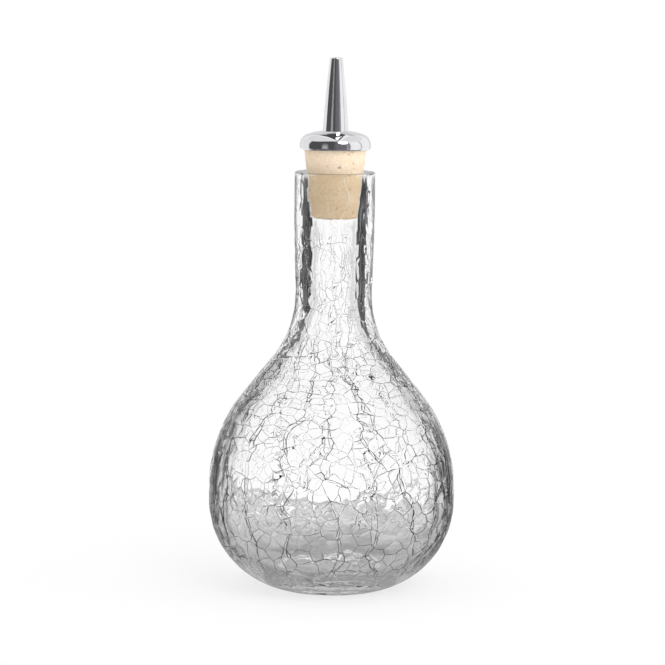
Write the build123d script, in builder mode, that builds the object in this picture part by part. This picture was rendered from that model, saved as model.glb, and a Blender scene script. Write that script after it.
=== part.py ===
"""A crackle-glass bitters bottle with a cork stopper that carries a metal dasher top.

Frame: origin on the axis at the face the bottle stands on, +Z up. Millimetres.
Every piece is turned about the same upright axis, so each one is a revolved half outline.
"""

from build123d import *
from math import atan2, cos, degrees, hypot, radians, sin
import os

# Glass: the outside
neck_length = 40.6  # from the top of the concave sweep to the cut rim
body_radius = 41.1  # the widest place of the bulb
bowl_height = 29.2  # the bowl turns upright here
belly_band = 4.3  # and stays upright for this much before the shoulder
foot_radius = 19.0  # outer edge of the ring that the bottle stands on
push_up_radius = 14.0  # the hollow under the foot
push_up_depth = 1.0
shoulder_arc_radius = 49.4
shoulder_turn = 38.7  # degrees from upright, where the shoulder runs out straight
root_arc_radius = 34.4  # concave sweep from the straight slope into the neck
rim_band_length = 19.7  # the straight, round stretch of neck under the rim
rim_edge_radius = 0.5

# Glass: the walls
bulb_wall = 3.1
neck_wall = 4.86  # where the neck starts
rim_wall = 3.7  # at the mouth, outside the cork's seat
floor_thickness = 4.6
floor_radius = 16.0  # the flat middle of the inside floor
bore_root_radius = 32.0  # the same sweep on the inside

# Cork
cork_bottom_radius = 7.9
cork_top_radius = 10.6
cork_depth = 15.2  # how far it reaches into the neck
cork_showing = 7.4  # between the rim and the cap
cork_edge_radius = 1.0
cork_clearance = 0.15  # all round, between the cork and its ground seat
seat_runout = 2.0  # the seat runs on this far under the cork

# Metal cap
cap_recess_depth = 3.0  # the cork's head sits up inside the cap
cap_recess_clearance = 0.2
cap_skirt_wall = 0.95
cap_crown_thickness = 3.1  # from the recess to the land under the spout
cap_crown_drop = 2.1  # how far the crown falls from the land to the shoulder
cap_crown_bulge = 0.35
cap_shoulder_radius = 3.7
cap_hem_radius = 0.9
cap_land_margin = 0.35  # the land shows this much round the spout's foot

# Pour tube and spout
tube_radius = 3.0
tube_wall = 0.5
tube_flare = 0.6  # the lower end is belled out by this much, in as much again of cork
tube_flare_length = 1.0
spout_height = 24.2
spout_foot_wall = 1.25  # outside the tube
spout_socket_depth = 5.0  # the tube reaches this far into the spout
spout_bulge = 0.15
spout_lip_radius = 0.35
orifice_radius = 1.0
orifice_length = 1.6
tip_wall = 1.05

# Radii that follow from what fits in what
cork_length = cork_depth + cork_showing + cap_recess_depth
cork_taper = (cork_top_radius - cork_bottom_radius) / cork_length
mouth_radius = cork_bottom_radius + cork_taper * cork_depth + cork_clearance
bore_radius = cork_bottom_radius - cork_taper * seat_runout + cork_clearance
rim_radius = mouth_radius + rim_wall
neck_radius = bore_radius + neck_wall
recess_radius = cork_top_radius + cap_recess_clearance
cap_radius = recess_radius + cap_skirt_wall
tube_bore_radius = tube_radius - tube_wall
spout_foot_radius = tube_radius + spout_foot_wall
tip_radius = orifice_radius + tip_wall
land_radius = spout_foot_radius + cap_land_margin


def swing(centre, start, end):
    """The short arc about centre from start to end, both at the same distance from it."""
    reach = hypot(start[0] - centre[0], start[1] - centre[1])
    first = degrees(atan2(start[1] - centre[1], start[0] - centre[0]))
    last = degrees(atan2(end[1] - centre[1], end[0] - centre[0]))
    turn = (last - first + 180) % 360 - 180
    return CenterArc(centre, reach, first, turn)


def bowl_centre(widest_radius, edge_radius, drop):
    """Centre distance of the arc that is upright at the widest place and meets the floor's edge."""
    reach = widest_radius - edge_radius
    return widest_radius - (reach**2 + drop**2) / (2 * reach)


def neck_root(slope_top, root_radius, neck):
    """Centre of the concave arc that touches both the straight slope and the upright neck."""
    lean = radians(shoulder_turn)
    centre_radius = neck + root_radius
    rise = (root_radius - (centre_radius - slope_top[0]) * cos(lean)) / sin(lean)
    return (centre_radius, slope_top[1] + rise)


def off_centre(centre, distance):
    """The point that lies this far from a centre, square to the straight slope."""
    lean = radians(shoulder_turn)
    return (centre[0] + distance * cos(lean), centre[1] + distance * sin(lean))


# The outside of the glass, foot to rim
foot_edge = (foot_radius, 0)
bowl_top = (body_radius, bowl_height)
bowl = (bowl_centre(body_radius, foot_radius, bowl_height), bowl_height)
shoulder_height = bowl_height + belly_band
shoulder_start = (body_radius, shoulder_height)
shoulder = (body_radius - shoulder_arc_radius, shoulder_height)
slope_start = off_centre(shoulder, shoulder_arc_radius)
root = neck_root(slope_start, root_arc_radius, neck_radius)
slope_end = off_centre(root, -root_arc_radius)
neck_start = (neck_radius, root[1])
bottle_height = root[1] + neck_length
band_start = (rim_radius, bottle_height - rim_band_length)
rim_edge = (rim_radius, bottle_height)

# Heights of what stands in and on the neck
cork_bottom = bottle_height - cork_depth
cap_bottom = bottle_height + cork_showing
cork_top = cap_bottom + cap_recess_depth
cap_top = cork_top + cap_crown_thickness
spout_top = cap_top + spout_height
tube_top = cap_top + spout_socket_depth

# The inside, mouth to floor
mouth_edge = (mouth_radius, bottle_height)
seat_end = (bore_radius, cork_bottom - seat_runout)
inner_slope_start = off_centre(shoulder, shoulder_arc_radius - bulb_wall)
bore_root = neck_root(inner_slope_start, bore_root_radius, bore_radius)
inner_slope_end = off_centre(bore_root, -bore_root_radius)
bore_end = (bore_radius, bore_root[1])
inner_radius = body_radius - bulb_wall
inner_bowl_top = (inner_radius, bowl_height)
inner_floor_edge = (floor_radius, floor_thickness)
inner_bowl = (
    bowl_centre(inner_radius, floor_radius, bowl_height - floor_thickness),
    bowl_height,
)

with BuildPart() as glass_bottle:
    with BuildSketch(Plane.XZ):
        with BuildLine():
            push_up_centre_height = (push_up_depth**2 - push_up_radius**2) / (2 * push_up_depth)
            swing((0, push_up_centre_height), (0, push_up_depth), (push_up_radius, 0))
            Line((push_up_radius, 0), foot_edge)
            swing(bowl, foot_edge, bowl_top)
            Line(bowl_top, shoulder_start)
            swing(shoulder, shoulder_start, slope_start)
            Line(slope_start, slope_end)
            swing(root, slope_end, neck_start)
            Polyline(neck_start, band_start, rim_edge, mouth_edge, seat_end, bore_end)
            swing(bore_root, bore_end, inner_slope_end)
            Line(inner_slope_end, inner_slope_start)
            swing(shoulder, inner_slope_start, (inner_radius, shoulder_height))
            Line((inner_radius, shoulder_height), inner_bowl_top)
            swing(inner_bowl, inner_bowl_top, inner_floor_edge)
            Polyline(inner_floor_edge, (0, floor_thickness), (0, push_up_depth))
        make_face()
    revolve(axis=Axis.Z)
    rim_face = faces().filter_by(Plane.XY).sort_by(Axis.Z)[-1]
    fillet(rim_face.edges().filter_by(GeomType.CIRCLE), radius=rim_edge_radius)
glass_bottle.part.label = "glass_bottle"

with BuildPart() as cork_stopper:
    with BuildSketch(Plane.XZ):
        with BuildLine():
            Polyline(
                (tube_radius + tube_flare, cork_bottom),
                (cork_bottom_radius, cork_bottom),
                (cork_top_radius, cork_top),
                (tube_radius, cork_top),
                (tube_radius, cork_bottom + tube_flare_length),
                close=True,
            )
        make_face()
    revolve(axis=Axis.Z)
    foot_face = faces().filter_by(Plane.XY).sort_by(Axis.Z)[0]
    fillet(foot_face.edges().sort_by(SortBy.RADIUS)[-1], cork_edge_radius)
cork_stopper.part.label = "cork_stopper"

with BuildPart() as dasher_cap:
    with BuildSketch(Plane.XZ):
        with BuildLine():
            Line((tube_radius, cap_top), (land_radius, cap_top))
            SagittaArc((land_radius, cap_top), (cap_radius, cap_top - cap_crown_drop), cap_crown_bulge)
            Polyline(
                (cap_radius, cap_top - cap_crown_drop),
                (cap_radius, cap_bottom),
                (recess_radius, cap_bottom),
                (recess_radius, cork_top),
                (tube_radius, cork_top),
                (tube_radius, cap_top),
            )
        make_face()
    revolve(axis=Axis.Z)
    skirt = faces().filter_by(GeomType.CYLINDER).sort_by(SortBy.AREA)[-1]
    fillet(skirt.edges().sort_by(Axis.Z)[-1], cap_shoulder_radius)
    fillet(faces().filter_by(Plane.XY).sort_by(Axis.Z)[0].edges().sort_by(SortBy.RADIUS)[-1], cap_hem_radius)
dasher_cap.part.label = "dasher_cap"

with BuildPart() as dasher_spout:
    with BuildSketch(Plane.XZ):
        with BuildLine():
            Line((tube_radius, cap_top), (spout_foot_radius, cap_top))
            SagittaArc((spout_foot_radius, cap_top), (tip_radius, spout_top), -spout_bulge)
            Polyline(
                (tip_radius, spout_top),
                (orifice_radius, spout_top),
                (orifice_radius, spout_top - orifice_length),
                (tube_bore_radius, tube_top),
                (tube_radius, tube_top),
                (tube_radius, cap_top),
            )
        make_face()
    revolve(axis=Axis.Z)
    lip = faces().filter_by(Plane.XY).sort_by(Axis.Z)[-1].edges().sort_by(SortBy.RADIUS)[-1]
    fillet(lip, spout_lip_radius)
dasher_spout.part.label = "dasher_spout"

with BuildPart() as pour_tube:
    with BuildSketch(Plane.XZ):
        with BuildLine():
            Polyline(
                (tube_bore_radius + tube_flare, cork_bottom),
                (tube_radius + tube_flare, cork_bottom),
                (tube_radius, cork_bottom + tube_flare_length),
                (tube_radius, tube_top),
                (tube_bore_radius, tube_top),
                (tube_bore_radius, cork_bottom + tube_flare_length),
                close=True,
            )
        make_face()
    revolve(axis=Axis.Z)
pour_tube.part.label = "pour_tube"

os.makedirs("parts", exist_ok=True)
for piece in (glass_bottle, cork_stopper, dasher_cap, dasher_spout, pour_tube):
    export_step(piece.part, f"parts/{piece.part.label}.step")
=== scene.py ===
# Looks for a crackle-glass bitters bottle with a cork and metal dasher top.
# Lengths in the dictionaries are millimetres, angles are degrees.
import itertools
import math
import random
from bisect import bisect_right

import bmesh
import bpy
from mathutils import Matrix, Vector, noise
from mathutils.geometry import delaunay_2d_cdt


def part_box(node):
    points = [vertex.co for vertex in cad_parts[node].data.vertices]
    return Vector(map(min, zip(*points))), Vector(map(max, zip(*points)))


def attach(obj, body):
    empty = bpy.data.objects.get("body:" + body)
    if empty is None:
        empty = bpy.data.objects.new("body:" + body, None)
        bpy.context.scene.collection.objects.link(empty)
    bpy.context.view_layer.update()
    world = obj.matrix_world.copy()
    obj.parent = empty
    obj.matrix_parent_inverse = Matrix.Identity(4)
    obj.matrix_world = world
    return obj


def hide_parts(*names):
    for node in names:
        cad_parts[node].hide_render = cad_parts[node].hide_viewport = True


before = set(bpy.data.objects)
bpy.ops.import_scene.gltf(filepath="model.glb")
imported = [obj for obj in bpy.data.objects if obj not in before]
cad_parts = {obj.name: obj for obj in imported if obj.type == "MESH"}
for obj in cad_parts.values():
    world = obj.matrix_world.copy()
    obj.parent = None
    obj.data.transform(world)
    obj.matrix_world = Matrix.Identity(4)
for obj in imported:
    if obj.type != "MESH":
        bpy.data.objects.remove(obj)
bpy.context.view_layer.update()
metre = 0.001  # one millimetre in Blender's metres


def linearColour(hexCode, alpha=1.0):
    # an sRGB hex colour, turned to the linear values that shaders take
    parts = [int(hexCode[i : i + 2], 16) / 255 for i in (1, 3, 5)]
    return tuple(c / 12.92 if c <= 0.04045 else ((c + 0.055) / 1.055) ** 2.4 for c in parts) + (alpha,)


def addNode(tree, kind, inputs=(), **settings):
    # one node with its settings; its inputs go in order or by name
    # an input is a value, a hex colour, or the socket or the node that feeds it
    made = tree.nodes.new(kind)
    for name, value in settings.items():
        setattr(made, name, value)
    sockets = [socket for socket in made.inputs if socket.enabled]
    for key, value in inputs.items() if isinstance(inputs, dict) else enumerate(inputs):
        socket = sockets[key] if isinstance(key, int) else next(s for s in sockets if s.name == key)
        if isinstance(value, bpy.types.Node):
            value = next(output for output in value.outputs if output.enabled)
        if isinstance(value, str) and value.startswith("#"):
            value = linearColour(value)
        if isinstance(value, bpy.types.NodeSocket):
            tree.links.new(value, socket)
        else:
            socket.default_value = value
    return made


def newMaterial(name):
    material = bpy.data.materials.new(name)
    material.use_nodes = True
    material.node_tree.nodes.clear()
    return material, material.node_tree


def meshPiece(name, vertices, faces, materials, smooth=True):
    mesh = bpy.data.meshes.new(name)
    mesh.from_pydata(vertices, [], faces)
    for material in materials:
        mesh.materials.append(material)
    if smooth:
        mesh.shade_smooth()
    piece = bpy.data.objects.new(name, mesh)
    bpy.context.collection.objects.link(piece)
    return piece


def setRamp(ramp, stops):
    elements = ramp.color_ramp.elements
    while len(elements) < len(stops):
        elements.new(0.5)
    for element, (place, colour) in zip(elements, stops):
        element.position = place
        element.color = colour


# The view, as the photograph was taken: level with the neck, from a good metre away
view = {
    "distance": 1100.0,
    "height": 221.7,
    "aim": 85.3,
    "aside": -0.23,
    "roll": 0.66,
    "pixelsPerMm": 3.0,
    "frame": 665,
    "sensor": 36.0,
}


def makeCamera():
    place = Vector((view["aside"], -view["distance"], view["height"]))
    aim = Vector((view["aside"], 0, view["aim"]))
    reach = (aim - place).length
    camera = bpy.data.objects.new("camera", bpy.data.cameras.new("camera"))
    camera.data.sensor_width = view["sensor"]
    camera.data.lens = view["pixelsPerMm"] * reach / view["frame"] * view["sensor"]
    camera.data.clip_end = 50
    turn = (aim - place).to_track_quat("-Z", "Y").to_matrix().to_4x4()
    camera.matrix_world = (
        Matrix.Translation(place * metre) @ turn @ Matrix.Rotation(math.radians(view["roll"]), 4, "Z")
    )
    bpy.context.collection.objects.link(camera)
    bpy.context.scene.camera = camera
    print("camera set,", round(camera.data.lens, 1), "mm lens")


# The studio: a white sweep, a grey table under the bottle, and dark flags that polished metal mirrors
studio = {
    "floorRadius": 620.0,
    "tableRadius": 133.0,
    "tableEdge": 1.2,
    "tableGrain": 16.0,
    "floorColour": "#FAFAFA",
    "tableReach": 0.5,  # it reaches further between the walls, by this share
    "tableColour": "#DADADA",
    # painted shadow: the table's darker grey under the bottle, which mirrors show too
    "tableShadowGrey": "#A0A0A0",
    "shadowShare": 0.3,
    "plainLevel": 0.90,
    "sidePower": 6.0,
    "sideSize": 700.0,
    "sidePlace": (1500.0, -350.0, 420.0),
    "keyPower": 7.0,
    "keySize": 900.0,
    "keyPlace": (650.0, -1150.0, 1250.0),
    "flagTop": (0.54, 0.27),  # where the flags end, on a sphere of one, and how much higher in front
    "walls": 8.0,
    "gapBetween": (-0.35, -0.85),  # between two walls the grey begins and is full at these levels of a wave
    "gapColour": "#E0E0E1",
    "ceiling": (0.3, 0.7),
    "ceilingColour": "#C0C0C2",
    "overheadColour": "#E9E9EA",
    "darkColour": "#515052",
    "ovalPlace": (0.015, 0.25),  # the dark oval overhead, on a sphere of one: its middle,
    "ovalSize": (0.155, 0.70),  # its half sizes,
    "ovalLean": 0.10,  # and how it turns to the right towards the front
    "haloReach": 1.5,  # it is ringed with white out to this many times its size
    "stripPlace": (0.060, 0.052),  # the narrow lamp in it: middle and half width
    "stripReach": 0.86,
    "stripLevel": 1.6,
    "glowHeight": (0.7, -0.06),  # the upright light fades in downwards between these heights of the sphere
    "glowMost": 0.45,
    "backEdge": (0.80, 0.90),  # behind the bottle the flags give way to this colour
    "backColour": "#E2E2E4",
    "footEdge": (0.56, 0.62),  # what the spout mirrors on into the cap goes from this colour to dark
    "footColour": "#E4E4E6",
    # painted shadow: the table seen through the glass darkens towards the bottle
    "tableShadowSpan": (20.0, 85.0),  # the table is dark under the bottle and pale from here out
    "tableWorn": (0.72, 1.12),
    "shadowReach": (30.0, 150.0),
    "floorSides": 96,
}
# what polished metal sees, by degrees round the bottle: 0 is towards the camera, 90 to its right
studioAround = (
    (-180, "#8E8E90"),
    (-171, "#8E8E90"),
    (-169, "#FFFFFF"),
    (-130, "#F2F2F3"),
    (-98, "#F4F4F5"),
    (-93, "#535254"),
    (-8, "#515052"),
    (4, "#6E6D70"),
    (36, "#757477"),
    (41, "#AEAEB0"),
    (45, "#88878A"),
    (49, "#8E8E90"),
    (53, "#FCFCFC"),
    (78, "#FFFFFF"),
    (91, "#F4F4F5"),
    (93, "#B4B4B6"),
    (95, "#B4B4B6"),
    (98, "#F8F8F8"),
    (140, "#FFFFFF"),
    (169, "#FFFFFF"),
    (171, "#8E8E90"),
    (180, "#8E8E90"),
)
studioGlow = ((-48, 0.0), (-40, 1.0), (-28, 1.0), (-19, 0.0))  # a dim upright light between the flags


def aroundColour(tree, place):
    # the colours above, for a direction or for a place on the floor
    parts = addNode(tree, "ShaderNodeSeparateXYZ", [place]).outputs
    front = addNode(tree, "ShaderNodeMath", [parts["Y"], -1.0], operation="MULTIPLY")
    angle = addNode(tree, "ShaderNodeMath", [parts["X"], front], operation="ARCTAN2")
    turn = addNode(tree, "ShaderNodeMapRange", [angle, -math.pi, math.pi])
    ramp = addNode(tree, "ShaderNodeValToRGB", [turn])
    setRamp(ramp, [((degrees + 180) / 360, linearColour(colour)) for degrees, colour in studioAround])
    glow = addNode(tree, "ShaderNodeValToRGB", [turn])
    setRamp(glow, [((degrees + 180) / 360, (v, v, v, 1)) for degrees, v in studioGlow])
    front = addNode(tree, "ShaderNodeMath", [angle], operation="COSINE")
    return ramp, glow, front


def wallWave(tree, place):
    # 1 at the middle of each white wall that stands round the bottle, and -1 between two of them
    parts = addNode(tree, "ShaderNodeSeparateXYZ", [place]).outputs
    angle = addNode(tree, "ShaderNodeMath", [parts["X"], parts["Y"]], operation="ARCTAN2")
    wave = addNode(tree, "ShaderNodeMath", [angle, studio["walls"]], operation="MULTIPLY")
    return addNode(tree, "ShaderNodeMath", [wave], operation="COSINE")


def throughColour(tree, direction, height):
    # what clear glass bends into view: white walls with grey gaps between them, and a grey ceiling
    gap = addNode(tree, "ShaderNodeMapRange", [wallWave(tree, direction), *studio["gapBetween"]])
    seen = addNode(tree, "ShaderNodeMix", [gap, "#FFFFFF", studio["gapColour"]], data_type="RGBA")
    up = addNode(tree, "ShaderNodeMapRange", [height, *studio["ceiling"]])
    return addNode(tree, "ShaderNodeMix", [up, seen, studio["ceilingColour"]], data_type="RGBA")


def overheadColour(tree, direction):
    # above the bottle: a pale ceiling with a dark oval gap that holds a narrow lamp
    place = addNode(tree, "ShaderNodeSeparateXYZ", [direction]).outputs
    (x, y), (wide, long), lean = studio["ovalPlace"], studio["ovalSize"], studio["ovalLean"]
    across = addNode(tree, "ShaderNodeMath", [place["Y"], lean, place["X"]], operation="MULTIPLY_ADD")
    squares = []
    for value, middle, half in ((across, x + lean * y, wide), (place["Y"], y, long)):
        value = addNode(tree, "ShaderNodeMath", [value, middle], operation="SUBTRACT")
        value = addNode(tree, "ShaderNodeMath", [value, half], operation="DIVIDE")
        squares.append(addNode(tree, "ShaderNodeMath", [value, value], operation="MULTIPLY"))
    away = addNode(tree, "ShaderNodeMath", squares, operation="ADD")
    away = addNode(tree, "ShaderNodeMath", [away], operation="SQRT")
    spot, half = studio["stripPlace"]
    aside = addNode(tree, "ShaderNodeMath", [place["X"], spot], operation="SUBTRACT")
    aside = addNode(tree, "ShaderNodeMath", [aside], operation="ABSOLUTE")
    strip = addNode(tree, "ShaderNodeMapRange", [aside, half + 0.01, half - 0.01])
    seen = studio["overheadColour"]
    for reach, colour in (
        (studio["haloReach"], "#FFFFFF"),
        (1.0, studio["darkColour"]),
        (studio["stripReach"], (*[studio["stripLevel"]] * 3, 1)),
    ):
        within = addNode(tree, "ShaderNodeMapRange", [away, reach + 0.04, reach - 0.04])
        if reach < 1:
            within = addNode(tree, "ShaderNodeMath", [strip, within], operation="MULTIPLY")
        seen = addNode(tree, "ShaderNodeMix", [within, seen, colour], data_type="RGBA")
    return seen


def makeWorld():
    world = bpy.data.worlds.new("studio")
    bpy.context.scene.world = world
    world.use_nodes = True
    tree = world.node_tree
    tree.nodes.clear()
    direction = addNode(tree, "ShaderNodeTexCoord").outputs["Generated"]
    parts = addNode(tree, "ShaderNodeSeparateXYZ", [direction]).outputs
    height = parts["Z"]
    flags, glow, front = aroundColour(tree, direction)
    low = addNode(tree, "ShaderNodeMapRange", [height, *studio["glowHeight"], 0.0, studio["glowMost"]])
    lit = addNode(tree, "ShaderNodeMix", [low, (0, 0, 0, 1), glow], data_type="RGBA")
    flags = addNode(tree, "ShaderNodeMix", [1.0, flags, lit], data_type="RGBA", blend_type="LIGHTEN")
    back = addNode(tree, "ShaderNodeMapRange", [parts["Y"], *studio["backEdge"]])
    flags = addNode(tree, "ShaderNodeMix", [back, flags, studio["backColour"]], data_type="RGBA")
    top, rise = studio["flagTop"]
    front = addNode(tree, "ShaderNodeMath", [front, 0.0], operation="MAXIMUM")
    over = addNode(tree, "ShaderNodeMath", [front, -rise, height], operation="MULTIPLY_ADD")
    up = addNode(tree, "ShaderNodeMapRange", [over, top, top + 0.04])
    overhead = overheadColour(tree, direction)
    around = addNode(tree, "ShaderNodeMix", [up, flags, overhead], data_type="RGBA")
    rays = addNode(tree, "ShaderNodeLightPath").outputs
    # what the spout mirrors on into the cap is dark above its foot
    twice = addNode(tree, "ShaderNodeMath", [rays["Glossy Depth"], 1.5], operation="GREATER_THAN")
    foot = addNode(tree, "ShaderNodeMapRange", [height, *studio["footEdge"]])
    again = [foot, studio["footColour"], studio["darkColour"]]
    again = addNode(tree, "ShaderNodeMix", again, data_type="RGBA")
    around = addNode(tree, "ShaderNodeMix", [twice, around, again], data_type="RGBA")
    seen = (*[studio["plainLevel"]] * 3, 1)
    for test, colour in (
        ("Is Glossy Ray", around),
        ("Is Transmission Ray", throughColour(tree, direction, height)),
        ("Is Camera Ray", "#FFFFFF"),
    ):
        seen = addNode(tree, "ShaderNodeMix", [rays[test], seen, colour], data_type="RGBA")
    background = addNode(tree, "ShaderNodeBackground", [seen])
    addNode(tree, "ShaderNodeOutputWorld", {"Surface": background})


def makeFloor():
    material, tree = newMaterial("matt white sweep with a grey table")
    rays = addNode(tree, "ShaderNodeLightPath").outputs
    place = addNode(tree, "ShaderNodeTexCoord").outputs["Object"]
    away = addNode(tree, "ShaderNodeVectorMath", [place], operation="LENGTH")
    white = addNode(tree, "ShaderNodeEmission", ["#FFFFFF"])
    paper = addNode(tree, "ShaderNodeBsdfDiffuse", [studio["floorColour"]])
    # through the glass: the grey table, with a painted shadow under the bottle, then the white sweep
    flags, _, _ = aroundColour(tree, place)
    wave = wallWave(tree, place)
    reach = addNode(tree, "ShaderNodeMapRange", [wave, 1.0, -1.0, 0.0, studio["tableReach"]])
    reach = addNode(tree, "ShaderNodeMath", [reach, 1.0], operation="ADD")
    near = addNode(tree, "ShaderNodeMath", [away, reach], operation="DIVIDE")
    first = (studio["tableRadius"] - studio["tableEdge"]) * metre
    last = (studio["tableRadius"] + studio["tableEdge"]) * metre
    edge = addNode(tree, "ShaderNodeMapRange", [near, first, last])
    # painted shadow: darker grey under the bottle, paler further out
    first, last = studio["tableShadowSpan"]
    out = addNode(tree, "ShaderNodeMapRange", [away, first * metre, last * metre])
    grey = [out, studio["tableShadowGrey"], studio["tableColour"]]
    grey = addNode(tree, "ShaderNodeMix", grey, data_type="RGBA")
    grain = {"Vector": place, "Scale": 1 / (studio["tableGrain"] * metre), "Detail": 2.0}
    worn = addNode(tree, "ShaderNodeTexNoise", grain)
    worn = addNode(tree, "ShaderNodeMapRange", [worn, 0.35, 0.65, *studio["tableWorn"]])
    grey = addNode(tree, "ShaderNodeMix", [1.0, grey, worn], data_type="RGBA", blend_type="MULTIPLY")
    table = addNode(tree, "ShaderNodeEmission", [grey])
    through = addNode(tree, "ShaderNodeMixShader", [edge, table, white])
    # in polished metal and on the glass: the table in the grey of its painted shadow, and the flags, which
    # go on down to the floor
    mirrored = addNode(tree, "ShaderNodeMix", [edge, studio["tableShadowGrey"], flags], data_type="RGBA")
    mirrored = addNode(tree, "ShaderNodeEmission", [mirrored])
    # straight on: white paper that keeps some of the bottle's shadow, and pure white further out
    first, last = studio["shadowReach"]
    fade = [away, first * metre, last * metre, 1 - studio["shadowShare"]]
    fade = addNode(tree, "ShaderNodeMapRange", fade, interpolation_type="SMOOTHSTEP")
    seen = addNode(tree, "ShaderNodeMixShader", [fade, paper, white])
    surface = paper
    for test, shader in (
        ("Is Glossy Ray", mirrored),
        ("Is Transmission Ray", through),
        ("Is Camera Ray", seen),
    ):
        surface = addNode(tree, "ShaderNodeMixShader", [rays[test], surface, shader])
    addNode(tree, "ShaderNodeOutputMaterial", {"Surface": surface})
    rim = studio["floorSides"]
    radius = studio["floorRadius"] * metre
    turns = [2 * math.pi * i / rim for i in range(rim)]
    points = [(radius * math.cos(turn), radius * math.sin(turn), 0.0) for turn in turns]
    floor = meshPiece("floor", points, [tuple(range(rim))], [material], smooth=False)
    print("floor laid")


def makeLights():
    for name in ("key", "side"):
        lamp = bpy.data.lights.new(name + "Light", "AREA")
        lamp.shape = "DISK"
        lamp.size = studio[name + "Size"] * metre
        lamp.energy = studio[name + "Power"]
        made = bpy.data.objects.new(name + "Light", lamp)
        made.location = Vector(studio[name + "Place"]) * metre
        made.rotation_euler = (-made.location).to_track_quat("-Z", "Y").to_euler()
        made.visible_glossy = name == "key"  # only the key shows as a highlight
        bpy.context.collection.objects.link(made)
    print("lights hung")


makeCamera()
makeWorld()
makeFloor()
makeLights()

# Bottle: soda-lime glass, blown, dipped to crackle and reheated
bottle = {
    "bodyRadius": 41.1,
    "bowlHeight": 29.2,
    "bellyBand": 4.3,
    "footRadius": 19.0,
    "pushUpRadius": 14.0,
    "pushUpDepth": 1.0,
    "shoulderArc": 49.4,
    "shoulderTurn": 38.7,
    "rootArc": 34.4,
    "neckWall": 4.86,
    "rimWall": 3.7,
    "rimBand": 19.7,
    "rimEdge": 0.5,
    "bulbWall": 3.1,
    "floorThickness": 4.6,
    "floorRadius": 16.0,
    "boreRootArc": 32.0,
    "corkDepth": 15.2,
    "seatRunout": 2.0,
    "corkBottomRadius": 7.9,
    "corkTaper": 2.7 / 25.6,
    "seatClearance": 0.15,
    "step": 1.1,
}
panes = {
    "seed": 11,
    "bulbPane": 4.8,  # least distance between the middles of two panes
    "neckPane": 4.3,
    "tries": 42000,
    "plateTries": 3000,
    "spread": 1.0,
    "plateSize": 9.5,  # deep cracks part the glass into plates about this wide, and fine ones part a plate
    "strandGap": 0.8,  # the two strands of a long crack run about twice this far apart
    "bend": 0.62,
    "bendSize": 4.0,
    "openness": 0.02,
    "openCut": 0.01,
    "pieceLength": 1.1,
    "snap": 0.55,
    "fineCrack": 0.26,
    "plateCrack": 0.50,
    "longCrack": 0.95,
    "grooveDepth": 0.42,
    "grooveWidth": 0.28,
    "shoulder": 0.11,  # a pane falls off by this much towards its cracks
    "tilt": 0.020,
    "calmFoot": 7.0,  # the foot is smooth below this
    "calmMouth": 17.0,  # and the mouth is nearly smooth for this far down
    "ripple": 0.05,  # the blown inside is uneven by this much
    "rippleSize": 13.0,
    "leastWidth": 0.3,  # the faintest crack is this much as wide as a full one
    "mostWidth": 0.3,  # and none takes more than this share of its pane
    "flatShare": 0.8,
    "flatRound": 0.76,
    "ownLean": 0.35,  # how much a pane's own lean counts beside that of its plate
    "tiltReach": 3.0,
    "leastFall": 0.15,  # beside the faintest crack a pane still falls off by this share of its shoulder
    "calmRise": 1.8,  # how fast the panes come up from smooth glass, by the strength of their cracks
    "mostSink": 0.35,
    "sharpAngle": 18,
    "neckFrom": (66, 96),  # the panes go over to the neck's size between these heights
    "moodSize": 10.0,  # coarse and fine patches of panes, about this wide
    "sizeMiddle": 1.08,
    "sizeRange": (0.66, 1.8),
    "turnFrom": (20, 80),  # the long cracks go over to their upper place between these heights
    "sway": 0.18,  # and wander by this much of a radian
    "fineSway": 0.10,
    "apart": (0.62, 1.3),  # how far each strand keeps from its crack's middle, and how much that changes
    "patchSize": 7.0,  # stronger and fainter patches of cracks, about this wide
    "patchShare": 0.55,
    "fineSize": 2.2,
    "fineShare": 0.40,
}
# the long cracks that run up the bottle: where each stands low down and at the neck, from the front
longCracks = (
    (-79, -70),
    (-60, -56),
    (-40, -38),
    (-24, -17),
    (2, -3),
    (24, 18),
    (46, 8),
    (58, 56),
    (75, 66),
    (92, 96),
    (117, 110),
    (138, 144),
    (163, 160),
    (188, 181),
    (210, 214),
    (236, 232),
    (262, 254),
)
# by height in mm: how tall the panes are for their width, and how strong their cracks
paneTallness = ((0, 1.0), (42, 1.0), (56, 0.66), (78, 0.66), (98, 1.4), (139, 1.4))
paneStrength = ((0, 0.9), (20, 1.0), (72, 0.9), (90, 0.42), (139, 0.42))


def alongStops(stops, place):
    # the value between the two stops that a place lies between
    for (start, first), (end, last) in zip(stops, stops[1:]):
        if place <= end:
            return first + (last - first) * max(0.0, place - start) / (end - start)
    return stops[-1][1]


def arcPoints(centre, radius, first, last, step):
    first, last = math.radians(first), math.radians(last)
    count = max(3, math.ceil(abs(last - first) * radius / step))
    return [
        (
            centre[0] + radius * math.cos(first + (last - first) * i / count),
            centre[1] + radius * math.sin(first + (last - first) * i / count),
        )
        for i in range(count + 1)
    ]


def bowlArc(widest, edge, top, bottom, step):
    # the arc that is upright at the widest place and meets the floor's edge
    reach, drop = widest - edge, top - bottom
    radius = (reach**2 + drop**2) / (2 * reach)
    centre = (widest - radius, top)
    low = math.degrees(math.atan2(-drop, edge - centre[0]))
    return arcPoints(centre, radius, low, 0, step)


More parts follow.
